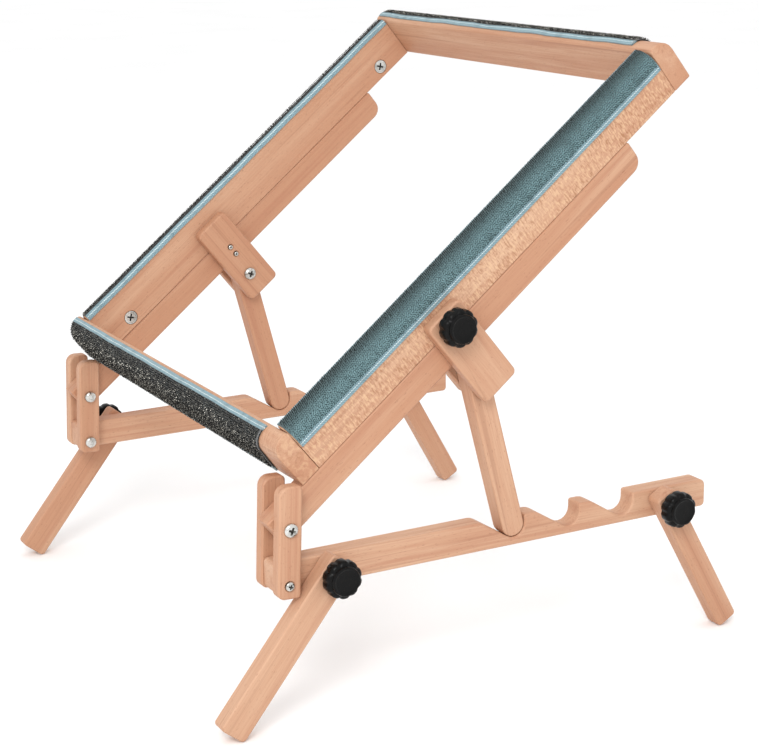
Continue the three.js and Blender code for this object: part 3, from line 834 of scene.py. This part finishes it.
def make_wires(name, strip, wrap, start, end, slant, material):
    """The wires of a strip: short bent points in staggered rows, each a three-sided prism."""
    draw = np.random.default_rng(sum(map(ord, name)) + 1)
    outermost = BORDER + 0.5 * WIRE_PITCH
    innermost = wrap.width - BORDER - 0.3 * WIRE_PITCH
    rows = np.arange(outermost, innermost, WIRE_PITCH)
    columns = np.arange(start + WIRE_PITCH, end - WIRE_PITCH, WIRE_PITCH)
    a, d = np.meshgrid(columns, rows, indexing="ij")
    a = cut_askew(a, d, start, end, wrap.width, slant)
    a = a + WIRE_PITCH * (np.arange(len(rows)) % 3)[None, :] / 3
    a = (a + draw.normal(0, 0.12 * WIRE_PITCH, a.shape)).ravel()
    d = (d + draw.normal(0, 0.1 * WIRE_PITCH, d.shape)).ravel()
    count = len(a)
    root, outward = wrap.at(d)
    sideways = np.stack([outward[:, 1], -outward[:, 0]], -1)  # towards the rail's inner edge
    top = PILE_TOP + draw.normal(0, 0.14 * MM, count)
    knee = CLOTH + LIFT_OFF + KNEE
    tip_lean = WIRE_LEAN * (top - knee) + draw.normal(0, 0.22 * MM, count)
    tip_drift = draw.normal(0, 0.2 * MM, count)
    still = np.zeros(count)
    rings = [  # height, shift towards the inner edge, drift along the rail, thickness
        (LIFT_OFF + WIRE_FOOT + still, still, still, 1.0),
        (knee + still, -0.3 * tip_lean, 0.3 * tip_drift, 1.0),
        (top, tip_lean, tip_drift, TIP_SIZE),
    ]
    vertices = np.zeros((count, len(rings) * CORNERS, 3))
    for ring, (height, shift, drift, size) in enumerate(rings):
        centre = root + outward * height[:, None] + sideways * shift[:, None]
        for corner in range(CORNERS):
            angle = 2 * math.pi * corner / CORNERS
            place = centre + sideways * (WIRE_RADIUS * size * math.cos(angle))
            moved = a + drift + WIRE_RADIUS * size * math.sin(angle)
            vertices[:, ring * CORNERS + corner] = to_world(strip, moved, place)
    sides = []
    for first in range(0, (len(rings) - 1) * CORNERS, CORNERS):
        for corner in range(CORNERS):
            here, after = first + corner, first + (corner + 1) % CORNERS
            sides.append((here, after, after + CORNERS, here + CORNERS))
    firsts = np.arange(count)[:, None, None] * len(rings) * CORNERS
    quads = (firsts + np.array(sides)[None]).reshape(-1, 4)
    caps = (firsts + np.array([[2, 1, 0], [6, 7, 8]])[None]).reshape(-1, CORNERS)
    mesh = bpy.data.meshes.new(name)
    mesh.from_pydata(vertices.reshape(-1, 3).tolist(), [], quads.tolist() + caps.tolist())
    mesh.materials.append(material)
    mesh.update()
    return link_mesh(name, mesh)


def make_strips():
    teal = strip_cloth("teal_twill", srgb(126, 158, 162), srgb(82, 112, 118), PAINTED_CLOTH_SHADE)
    slate = strip_cloth("slate_twill", srgb(52, 54, 54), srgb(28, 30, 30))
    blue = strip_cloth("blue_selvage", srgb(142, 170, 178), srgb(104, 132, 142))
    white = strip_cloth("white_piping", srgb(226, 238, 238), srgb(132, 158, 166))
    steel = wire("blued_wire", srgb(16, 20, 20), srgb(104, 116, 116))
    grey = wire("grey_wire", srgb(14, 14, 13), srgb(180, 176, 166))
    cross_wrap = Wrap(CROSS_LOW_EDGE, top_reach=CROSS_REACH)
    side_wrap = Wrap(SIDE_LOW_EDGE, inner_edge=SIDE_INNER_EDGE)
    gap = RAIL_THICKNESS + SIDE_CLEARANCE
    spans = {
        "front": (-HALF_WIDTH + BARE_CORNER, HALF_WIDTH - BARE_END),
        "rear": (-HALF_WIDTH + BARE_END, HALF_WIDTH - BARE_CORNER),
        "right": (FRONT + gap, REAR - gap),
        "left": (-REAR + gap, -FRONT - gap),
    }
    for side, strip in STRIPS.items():
        wrap = side_wrap if side in SIDES else cross_wrap
        start, end = spans[side]
        cloth, metal, finish = (
            (teal, steel, "teal_pile") if side == "right" else (slate, grey, "dark_pile")
        )
        wave, slant = WAVE.get(side, SMALL_WAVE), SLANT.get(side, 0)
        backing = make_backing(
            f"{side}_strip_backing", strip, wrap, start, end, slant, wave, [cloth, blue, white]
        )
        wires = make_wires(f"{side}_strip_wires", strip, wrap, start, end, slant, metal)
        replace_node(backing, f"{side}_gripper_strip", "gripper_frame")
        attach(wires, "gripper_frame")


# ---- the scene ----
FLOOR_REACH = 40  # half the floor's side
FLOOR_GAP = 0.5 * MM  # below the feet, so that no two surfaces coincide

CAMERA_PLACE = (1.4132, -0.5746, 0.6221)
CAMERA_RIGHT = (0.4776, 0.8785, -0.0123)
CAMERA_UP = (-0.2195, 0.1329, 0.9665)  # nearly square to it, and made so below
LENS = 88.07  # mm, on a sensor 36 mm wide
SENSOR = 36

WORLD_STRENGTH = 1.06
KEY_PLACE = (1.8, -1.2, 1.9)
KEY_TARGET = (0, 0.15, 0.2)
KEY_SIZE = 1.0
KEY_POWER = 34


def make_floor():
    mesh = bpy.data.meshes.new("floor")
    far = FLOOR_REACH
    corners = [(-far, -far, 0), (far, -far, 0), (far, far, 0), (-far, far, 0)]
    mesh.from_pydata(corners, [], [(0, 1, 2, 3)])
    mesh.materials.append(floor_paint())
    floor = link_mesh("floor", mesh)
    floor.location.z = -FLOOR_GAP


def make_camera():
    """A camera at the photograph's place: in front, to the right and a little above."""
    data = bpy.data.cameras.new("camera")
    data.lens = LENS
    data.sensor_width = SENSOR
    data.clip_end = 100
    camera = bpy.data.objects.new("camera", data)
    right = Vector(CAMERA_RIGHT)
    backward = right.cross(Vector(CAMERA_UP)).normalized()
    up = backward.cross(right).normalized()
    right = up.cross(backward)
    turn = Matrix((right, up, backward)).transposed().to_4x4()
    camera.matrix_world = Matrix.Translation(CAMERA_PLACE) @ turn
    bpy.context.scene.collection.objects.link(camera)
    bpy.context.scene.camera = camera


def make_key_light():
    """One large soft light, high on the camera's side."""
    data = bpy.data.lights.new("key", "AREA")
    data.shape = "SQUARE"
    data.size = KEY_SIZE
    data.energy = KEY_POWER
    light = bpy.data.objects.new("key", data)
    light.location = KEY_PLACE
    toward = Vector(KEY_TARGET) - Vector(KEY_PLACE)
    light.rotation_euler = toward.to_track_quat("-Z", "Y").to_euler()
    bpy.context.scene.collection.objects.link(light)


def make_studio():
    world = bpy.data.worlds.new("studio")
    world.use_nodes = True
    background = world.node_tree.nodes["Background"]
    background.inputs["Color"].default_value = (1, 1, 1, 1)
    background.inputs["Strength"].default_value = WORLD_STRENGTH
    bpy.context.scene.world = world
    make_key_light()
    bpy.context.scene.view_settings.view_transform = "Standard"


make_camera()
finish_boards()
make_hardware()
make_strips()
make_floor()
make_studio()
